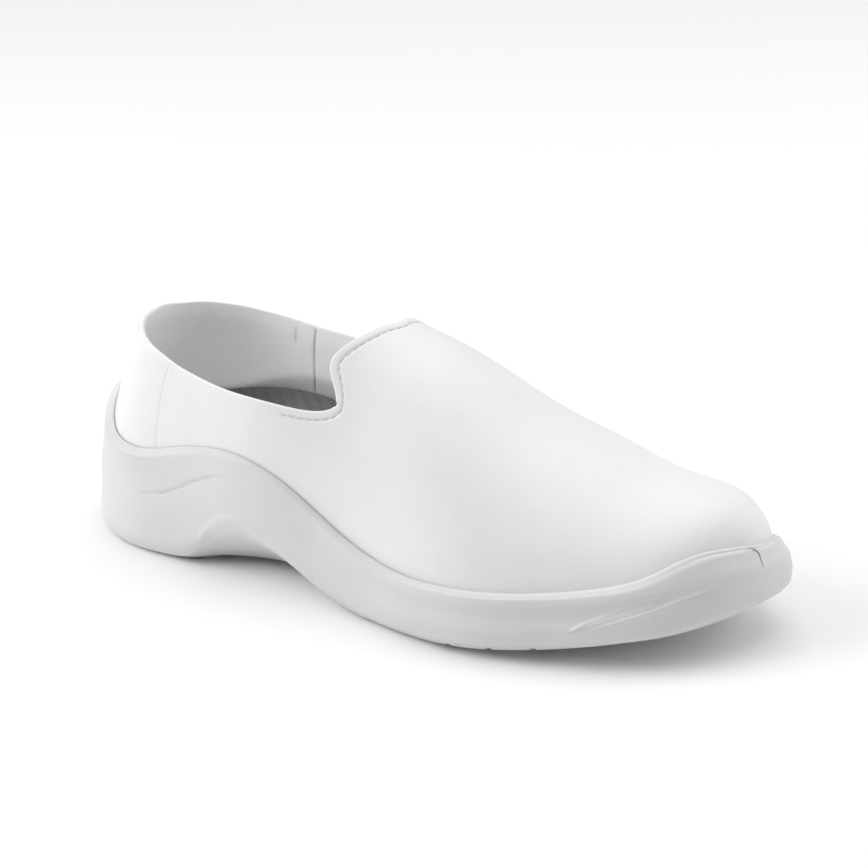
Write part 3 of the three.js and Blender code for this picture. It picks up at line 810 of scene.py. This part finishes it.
def lining_rows(rim, inside_edge, radius):
    """Climbs of the lining's rows from the edge down, each with its distance from the edge."""
    low = EDGE_ROWS[0]
    rows = [(inside_edge(distance), distance) for distance in (radius, 1.4, 2.4, 3.6, 5, 6.5)]
    rows += [(mix(inside_edge(low), rim, share), low) for share in np.linspace(0, 1, 26)]
    rows += [(rim * share, low) for share in np.linspace(1, 0, 7)[1:-1]]
    return rows


def make_upper():
    """Hollow upper: outside up to the turned edge, round it, and down the lining."""
    seams = [QUARTER_SEAM + d for d in (-0.9, -0.6, -0.4, -0.2, 0, 0.2, 0.4, 0.6, 0.9)]
    seams += [LINING_SEAM + d for d in (-0.4, -0.25, -0.12, 0, 0.12, 0.25, 0.4)]
    seams += [LINING_NOTCH + d for d in (-0.4, -0.2, 0, 0.2, 0.4)]
    turns = loop_turns(seams)
    rim = climb_at(turns, rim_height(turns))
    edge = upper_point(turns, 1.0)
    padding = HEEL_PADDING * gauss(turns - PADDING_TURN, PADDING_SPREAD)
    radius = (EDGE_THICKNESS + padding) / 2
    inside_edge = edge_lines(turns)
    hemmed = smooth(np.abs(turns), HEM_START - 4, HEM_START + 3)
    skin = Skin(turns)
    # Painted shade of each row, in the hem, the seams and the notch
    marks = []
    rows = []
    for climb, distance in outside_rows(rim, inside_edge, radius):
        sunk = np.zeros(len(turns))
        painted_shade = np.zeros(len(turns))
        if distance is not None:
            sunk += HEM_TROUGH_DEPTH * gauss(distance - STITCH_LINE, HEM_TROUGH_WIDTH) * hemmed
            # The hem's trough is painted darker along the stitch line: painted shade in the groove
            painted_shade += 0.25 * gauss(distance - STITCH_LINE, 0.4) * hemmed
        if climb[0] > rim[0] * 0.9:
            beside = turns - QUARTER_SEAM
            sunk += QUARTER_SEAM_DEPTH * gauss(beside, QUARTER_SEAM_WIDTH)
            # The quarter seam's groove is painted darker: painted shade
            painted_shade += 0.2 * gauss(beside, 0.3)
        proud = padding * smooth(climb, 0.5, 0.93)
        rows.append(skin.add_row(skin_point(turns, climb, proud - sunk)))
        marks.append(painted_shade)
    # The edge rolls over from the outside to the lining
    start = inside_edge(radius)
    centre = skin_point(turns, start, padding - radius)
    normal = skin_normal(turns, start)
    rim_run = upper_point(turns + 0.4, 1.0) - upper_point(turns - 0.4, 1.0)
    upward = unit(np.cross(normal, rim_run))
    upward = upward * np.sign(np.sum(upward * (edge - upper_point(turns, start)), -1))[:, None]
    for angle in np.linspace(0, math.pi, 9)[1:-1]:
        turned = math.cos(angle) * normal + math.sin(angle) * upward
        rows.append(skin.add_row(centre + radius[:, None] * turned))
        marks.append(np.zeros(len(turns)))
    leather_rows = len(rows)
    for i, (climb, distance) in enumerate(lining_rows(rim, inside_edge, radius)):
        wall = mix(EDGE_THICKNESS, UPPER_WALL, smooth(distance, 1.3, 7))
        high = smooth(climb, rim * 0.55, rim * 0.7)
        seam = gauss(turns - LINING_SEAM, LINING_SEAM_WIDTH) * high
        slit_range = smooth(climb, mix(rim, 1, 0.55), mix(rim, 1, 0.65))
        slit_range = slit_range * (1 - smooth(climb, mix(rim, 1, 0.85), mix(rim, 1, 0.92)))
        slit = 0.7 * gauss(turns - LINING_NOTCH, LINING_NOTCH_WIDTH) * slit_range
        # The row at the turned edge carries no seam
        fade = 1.0 if i else 0.0
        sunk = fade * (LINING_SEAM_DEPTH * seam + LINING_NOTCH_DEPTH * slit)
        rows.append(skin.add_row(skin_point(turns, climb, -wall + sunk)))
        # The lining seam and the notch are painted darker: painted shade in their grooves
        marks.append(fade * np.minimum(1, seam + slit))
    bottom = skin_point(turns, 0 * turns, np.full(len(turns), -UPPER_WALL))
    bottom[:, 2] = seat_under(bottom)
    rows.append(skin.add_row(bottom))
    marks.append(np.zeros(len(turns)))
    for i in range(1, len(rows)):
        skin.join_rows(rows[i - 1], rows[i], 0 if i < leather_rows else 1)
    skin.join_rows(rows[-1], rows[0], 0)
    return skin.build("upper_shell", [LEATHER, LINING], np.concatenate(marks))


def footbed_top(lateral, medial, turns_across):
    """Points across the hollowed top of the insole."""
    cells = 28
    share = (np.arange(1, cells) / cells)[None, :, None]
    points = lateral[:, None] * (1 - share) + medial[:, None] * share
    place = (points[..., 0] - HEEL_OVERHANG) / BASE_LENGTH
    hollow = 1 - (2 * share[..., 0] - 1) ** 2
    centre = seat_at(place) + INSOLE_THICKNESS * bed_centre(place)
    points[..., 2] = mix(points[..., 2], centre, hollow)
    return points


def footbed_base(lateral, medial, turns_across):
    share = np.array([0.25, 0.5, 0.75])[None, :, None]
    points = lateral[:, None] * (1 - share) + medial[:, None] * share
    points[..., 2] = seat_under(points)
    return points


def make_insole():
    """Dark footbed with a hollowed top and softly rounded edge."""
    turns = loop_turns()
    inward = np.full(len(turns), -UPPER_WALL - FIT_GAP)
    along = (1 - np.cos(np.radians(turns))) / 2
    rise = INSOLE_THICKNESS * np.where(turns < 0, bed_medial(along), bed_lateral(along))
    climb = climb_at(turns, upper_point(turns, 0.0)[:, 2] + rise)
    skin = Skin(turns)
    bottom = skin_point(turns, 0 * turns, inward)
    bottom[:, 2] = seat_under(bottom)
    rows = [skin.add_row(bottom)]
    for share in (0.25, 0.5, 0.75):
        rows.append(skin.add_row(skin_point(turns, climb * share, inward)))
    rim = skin_point(turns, climb, inward)
    side = -plan_normal(turns)
    for inset, drop in ((0, 0.9), (0.25, 0.35), (0.8, 0.05)):
        row = rim + side * inset
        row[:, 2] -= drop
        rows.append(skin.add_row(row))
    for i in range(1, len(rows)):
        skin.join_rows(rows[i - 1], rows[i])
    skin.close_across(rows[-1], footbed_top, True)
    skin.close_across(rows[0], footbed_base, False)
    return skin.build("insole_pad", [INSOLE])


def cut_tread(sole):
    """Cuts the tread grooves and the fine sipes between them with a boolean."""
    cutter = bmesh.new()

    def add_slot(x, width, depth, low_y, high_y):
        along = (x - HEEL_OVERHANG) / BASE_LENGTH
        top = float(ground_at(along)) + depth
        centre = to_frame((x, (low_y + high_y) / 2, (top - CUTTER_REACH) / 2))
        size = np.array((width, high_y - low_y, top + CUTTER_REACH)) / 1000
        matrix = Matrix.Translation(centre) @ Matrix.Diagonal((*size, 1))
        bmesh.ops.create_cube(cutter, size=1, matrix=matrix)

    outline = {}
    for name, turns in (("lateral", np.linspace(1, 179, 240)), ("medial", np.linspace(-1, -179, 240))):
        outline[name] = side_points(turns, np.ones((1, len(turns))))[0]

    def edge_y(name, x):
        return float(np.interp(x, outline[name][:, 0], outline[name][:, 1]))

    def cut_across(x, width, depth, inset):
        add_slot(x, width, depth, edge_y("lateral", x) + inset, edge_y("medial", x) - inset)

    for tread, open_grooves in ((HEEL_TREAD, ()), (FORE_TREAD, OPEN_GROOVES)):
        low, high = (HEEL_OVERHANG + end * BASE_LENGTH for end in tread)
        count = max(1, round((high - low) / GROOVE_PITCH))
        for i in range(count + 1):
            inset = -OPEN_GROOVE_REACH if i in open_grooves else GROOVE_INSET
            cut_across(mix(low, high, i / count), GROOVE_WIDTH, GROOVE_DEPTH, inset)
        pitch = (high - low) / count
        for i in range(count):
            for share in (0.33, 0.67):
                cut_across(low + (i + share) * pitch, SIPE_WIDTH, SIPE_DEPTH, GROOVE_INSET)
    mesh = bpy.data.meshes.new("tread_cutter")
    cutter.to_mesh(mesh)
    cutter.free()
    tool = new_object("tread_cutter", mesh)
    cut = sole.modifiers.new("tread", "BOOLEAN")
    cut.operation = "DIFFERENCE"
    cut.object = tool
    cut.solver = "EXACT"
    bpy.context.view_layer.update()
    done = bpy.data.meshes.new_from_object(sole.evaluated_get(bpy.context.evaluated_depsgraph_get()))
    sole.modifiers.clear()
    old = sole.data
    sole.data = done
    done.name = sole.name
    bpy.data.meshes.remove(old)
    bpy.data.objects.remove(tool)
    bpy.data.meshes.remove(mesh)
    done.set_sharp_from_angle(angle=math.radians(38))


def lip_rows(turns, rim, normal):
    """Rows over the lip of the sole, from its side inwards."""
    lip_at = skin_point(turns, rim, np.full(len(turns), LIP_GAP))
    thick = lip_thickness(turns)[:, None]
    rows = []
    for share, rise in LIP_PROFILE:
        row = lip_at + normal * thick * share
        row[:, 2] += rise
        rows.append(row)
    return rows


def side_relief(points):
    """How far lines and ribs stand out of the sole's side at each point, and how much painted shade the
    deep creases get.
    """
    painted_shade = np.zeros(points.shape[:2])
    shift = np.zeros(points.shape[:2])
    for marks, depth, width in SOLE_MARKS:
        distance, place = line_distance(points, fine_line(marks))
        fade = faded_ends(place)
        shift -= depth * gauss(distance, width) * fade
        # Deep creases also get painted shade along their fold
        if depth > PAINTED_SHADE_DEPTH:
            painted_shade += 0.4 * gauss(distance, width * 0.7) * fade
    foot = fine_line(RIB_FOOT, RIB_COUNT + RIB_LEAN)
    head = fine_line(RIB_HEAD, RIB_COUNT + RIB_LEAN)
    bow = RIB_BOW * plan_normal(np.array([RIB_TURN]))[0]
    for low, high in zip(foot, head[RIB_LEAN:]):
        distance, place = line_distance(points, np.array([low, (low + high) / 2 + bow, high]))
        shift += RIB_HEIGHT * gauss(distance, RIB_WIDTH) * faded_ends(place)
    return shift, painted_shade


def cup_floor(lateral, medial, turns_across):
    """Points across the floor that the insole lies on."""
    share = (np.arange(1, 8) / 8)[None, :, None]
    between = lateral[:, None] * (1 - share) + medial[:, None] * share
    between[..., 2] = seat_under(between) - FIT_GAP
    return between


def ground_face(lateral, medial, turns_across):
    """Points across the underside: a slope in from each edge, and the flat between them."""
    width = np.linalg.norm(lateral - medial, axis=-1)
    inset_lat = np.minimum(BALL_WIDTH * inset_lateral(turns_across), 0.4 * width) / width
    inset_med = np.minimum(BALL_WIDTH * inset_medial(turns_across), 0.4 * width) / width
    lines = []
    for share in (0.5, 1):
        lines.append((inset_lat * share, share, lateral))
    for share in (0.25, 0.5, 0.75):
        lines.append((mix(inset_lat, 1 - inset_med, share), 1, lateral))
    for share in (1, 0.5):
        lines.append((1 - inset_med * share, share, medial))
    between = []
    for share, flat, edge in lines:
        share = share[:, None]
        point = lateral * (1 - share) + medial * share
        base = ground_at((point[:, 0] - HEEL_OVERHANG) / BASE_LENGTH)
        point[:, 2] = mix(edge[:, 2], base, flat)
        between.append(point)
    return np.stack(between, 1)


def make_sole():
    """Sole with its side, lip and cup. The ribs need finer columns where they stand."""
    turns = loop_turns(np.arange(124, 156, 0.25))
    rim = climb_at(turns, rim_height(turns))
    normal = plan_normal(turns)
    skin = Skin(turns)
    down = np.concatenate([np.linspace(1, 0.93, 5)[:-1], np.linspace(0.93, 0.06, 46), [0.035]])
    points = side_points(turns, np.broadcast_to(down[:, None], (len(down), len(turns))))
    rounded = np.where(np.abs(turns) > 90, 1 + smooth(np.abs(turns), 135, 165), 0.6) * EDGE_ROUND
    points -= normal * (rounded * smooth(down, 0.8, 1.04)[:, None] ** 2)[..., None]
    # The last row runs from the side into the lip
    lip = lip_rows(turns, rim, normal)
    points[-1, :, :2] = mix(points[-2, :, :2], lip[0][:, :2], 0.45)
    outward = np.gradient(points, axis=0)
    around = np.roll(points, -1, 1) - np.roll(points, 1, 1)
    facing = unit(np.cross(around, outward))
    shift, painted_shade = side_relief(points)
    points = points + facing * shift[..., None]
    rows = [skin.add_row(row) for row in points]
    rows += [skin.add_row(row) for row in lip]
    for share in np.linspace(1, 0, 8)[:-1]:
        rows.append(skin.add_row(skin_point(turns, rim * share * 0.97, np.full(len(turns), LIP_GAP))))
    floor = skin_point(turns, 0 * turns, np.full(len(turns), FIT_GAP))
    floor[:, 2] = seat_under(floor) - FIT_GAP
    rows.append(skin.add_row(floor))
    for i in range(1, len(rows)):
        skin.join_rows(rows[i - 1], rows[i])
    skin.close_across(rows[-1], cup_floor, True)
    skin.close_across(rows[0], ground_face, False)
    # Painted shade of the side's creases; the other rows carry none
    painted_shade_all = np.zeros(len(skin.points))
    painted_shade_all[: painted_shade.size] = painted_shade.ravel()
    sole = skin.build("sole_unit", [FOAM], np.minimum(1, painted_shade_all))
    cut_tread(sole)
    return sole


def capsule(maker, start, end, radius, sides=8):
    """Adds one round-ended stitch between two points to a mesh under construction."""
    axis = unit(end - start)
    side = unit(np.cross(axis, (0.3, 0.2, 0.9)))
    other = np.cross(axis, side)
    rings = []
    for share, width in ((0, 0.35), (0.12, 0.85), (0.5, 1), (0.88, 0.85), (1, 0.35)):
        centre = mix(start, end, share)
        ring = []
        for i in range(sides):
            angle = 2 * math.pi * i / sides
            point = centre + radius * width * (math.cos(angle) * side + math.sin(angle) * other)
            ring.append(maker.verts.new(to_frame(point)))
        rings.append(ring)
    for below, above in zip(rings, rings[1:]):
        for i in range(sides):
            j = (i + 1) % sides
            maker.faces.new((below[i], below[j], above[j], above[i]))
    maker.faces.new(rings[0][::-1])
    maker.faces.new(rings[-1])


def make_stitches():
    """Row of stitches that holds the hem of the opening."""
    turns = np.concatenate([np.linspace(HEM_START, 180, 900), np.linspace(-180, -HEM_START, 900)[1:]])
    climb = edge_lines(turns)(STITCH_LINE)
    path = skin_point(turns, climb, np.full(len(turns), -STITCH_SUNK))
    walked = np.concatenate([[0], np.cumsum(np.linalg.norm(np.diff(path, axis=0), axis=1))])
    maker = bmesh.new()
    count = int(walked[-1] / STITCH_PITCH)
    for i in range(count):
        ends = []
        for share in (0.16, 0.84):
            at = walked[-1] * (i + share) / count
            ends.append(np.array([np.interp(at, walked, path[:, axis]) for axis in range(3)]))
        capsule(maker, ends[0], ends[1], STITCH_RADIUS)
    mesh = bpy.data.meshes.new("collar_stitches")
    maker.to_mesh(mesh)
    maker.free()
    mesh.materials.append(THREAD)
    mesh.polygons.foreach_set("use_smooth", [True] * len(mesh.polygons))
    return new_object("collar_stitches", mesh)


def make_mould_line_shadow():
    """Fine parting line at the tip of the sole, a thin dark tube of painted shadow."""
    line = fine_line(PARTING_LINE, 30)
    curve = bpy.data.curves.new("toe_parting_line_shadow", "CURVE")
    curve.dimensions = "3D"
    curve.bevel_depth = PARTING_RADIUS / 1000
    curve.bevel_resolution = 2
    curve.use_fill_caps = True
    stroke = curve.splines.new("POLY")
    stroke.points.add(len(line) - 1)
    for i, (point, place) in enumerate(zip(stroke.points, to_frame(line))):
        point.co = (*place, 1)
        point.radius = math.sin(math.pi * (0.06 + 0.88 * i / (len(line) - 1))) ** 0.5
    curve.materials.append(SHADOW_LINE)
    return new_object("toe_parting_line_shadow", curve)


LEATHER = smooth_leather()
LINING = lining_cloth()
FOAM = sole_foam()
INSOLE = insole_fabric()
THREAD = plain_thread("hem_thread", (0.78, 0.775, 0.76), 0.7)
# Dark tone for the parting line's painted shadow
SHADOW_LINE = plain_thread("parting_shadow", (0.16, 0.158, 0.15), 0.8)

upper = make_upper()
sole = make_sole()
insole = make_insole()
stitches = make_stitches()
mould_line_shadow = make_mould_line_shadow()

for piece in (upper, sole, insole, stitches, mould_line_shadow):
    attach(piece, "root")
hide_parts("upper")
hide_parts("sole")
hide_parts("insole")


# Studio

# Camera: the point it looks at in mm, its distance in metres and its angles in degrees
CAMERA_TARGET = (0.86, 7.03, 51.87)
CAMERA_DISTANCE = 1.2
CAMERA_ANGLES = {"azimuth": 28.491, "elevation": 25.0, "roll": 1.076}
CAMERA_LENS = 140.56
# Azimuth of the tent's dull side, from the lateral side towards the toe
DULL_AZIMUTH = 36
TENT_STRENGTH = 0.66
FLOOR_HALF = 6
FLOOR_DROP = 0.0002


def make_floor():
    mesh = bpy.data.meshes.new("floor")
    corners = [(FLOOR_HALF * x, FLOOR_HALF * y, 0) for x, y in ((-1, -1), (1, -1), (1, 1), (-1, 1))]
    mesh.from_pydata(corners, [], [(0, 1, 2, 3)])
    floor = new_object("floor", mesh)
    floor.location.z = -FLOOR_DROP
    material, tree, shader, place = new_material("pale_floor", Specular_IOR_Level=0.1)
    tint = colour_mix(tree, noise(tree, place, 3, 2), (0.93, 0.93, 0.93), (0.95, 0.95, 0.95))
    tree.links.new(tint, shader.inputs["Base Color"])
    shader.inputs["Roughness"].default_value = 0.9
    mesh.materials.append(material)


def make_camera():
    """Camera before the lateral side, turned towards the toe and slightly rolled."""
    target = Vector(CAMERA_TARGET) / 1000
    azimuth, elevation, roll = (math.radians(angle) for angle in CAMERA_ANGLES.values())
    level = math.cos(elevation)
    back = Vector((math.sin(azimuth) * level, -math.cos(azimuth) * level, math.sin(elevation)))
    right = Vector((math.cos(azimuth), math.sin(azimuth), 0))
    up = back.cross(right)
    across = right * math.cos(roll) - up * math.sin(roll)
    upward = right * math.sin(roll) + up * math.cos(roll)
    data = bpy.data.cameras.new("camera")
    data.lens = CAMERA_LENS
    data.sensor_width = 36
    camera = new_object("camera", data)
    axes = Matrix((across, upward, back)).transposed().to_4x4()
    camera.matrix_world = Matrix.Translation(target + back * CAMERA_DISTANCE) @ axes
    bpy.context.scene.camera = camera


def make_light(name, place, target, size, power):
    data = bpy.data.lights.new(name, "AREA")
    data.shape = "RECTANGLE"
    data.size, data.size_y = size
    data.energy = power
    light = new_object(name, data)
    light.location = place
    light.rotation_mode = "QUATERNION"
    light.rotation_quaternion = (Vector(target) - Vector(place)).to_track_quat("-Z", "Y")


def make_world():
    """White tent round the shoe, duller in front of it on the right and less so opposite."""
    world = bpy.data.worlds.new("studio")
    bpy.context.scene.world = world
    world.use_nodes = True
    tree = world.node_tree
    background = tree.nodes["Background"]
    place = add_node(tree, "ShaderNodeTexCoord").outputs["Generated"]
    parts = add_node(tree, "ShaderNodeSeparateXYZ")
    tree.links.new(place, parts.inputs["Vector"])
    height = mapped(tree, parts.outputs["Z"], 0.0, 0.9, 0, 1)
    tint = colour_mix(tree, height, (1, 1, 1), (0.9, 0.9, 0.9))
    azimuth = math.radians(DULL_AZIMUTH)
    facing = add_node(tree, "ShaderNodeVectorMath", operation="DOT_PRODUCT")
    facing.inputs[1].default_value = (math.sin(azimuth), -math.cos(azimuth), 0)
    tree.links.new(place, facing.inputs[0])
    dull = mapped(tree, facing.outputs["Value"], 0.22, 0.68, 0, 1)
    low = mapped(tree, parts.outputs["Z"], 0.45, 0.9, 1, 0)
    far_side = mapped(tree, facing.outputs["Value"], -0.8, -0.2, 0.3, 0)
    tint = colour_mix(tree, math_node(tree, "MULTIPLY", far_side, low), tint, (0.1, 0.1, 0.1))
    tint = colour_mix(tree, math_node(tree, "MULTIPLY", dull, low), tint, (0.04, 0.04, 0.04))
    tree.links.new(tint, background.inputs["Color"])
    background.inputs["Strength"].default_value = TENT_STRENGTH


make_floor()
make_camera()
make_light("overhead", (0.1, -0.05, 1.4), (0, 0, 0), (1.1, 1.1), 3.2)
make_light("behind", (0.05, 0.45, 1.2), (0, 0, 0.03), (1.2, 0.9), 3.4)
make_light("from_the_heel", (-0.74, -0.52, 0.66), (-0.05, 0, 0.05), (0.7, 0.7), 6.0)
make_light("from_the_toe", (0.85, 0.6, 0.6), (0.1, 0, 0.03), (0.8, 0.8), 3.4)
make_world()
bpy.context.scene.view_settings.view_transform = "Standard"
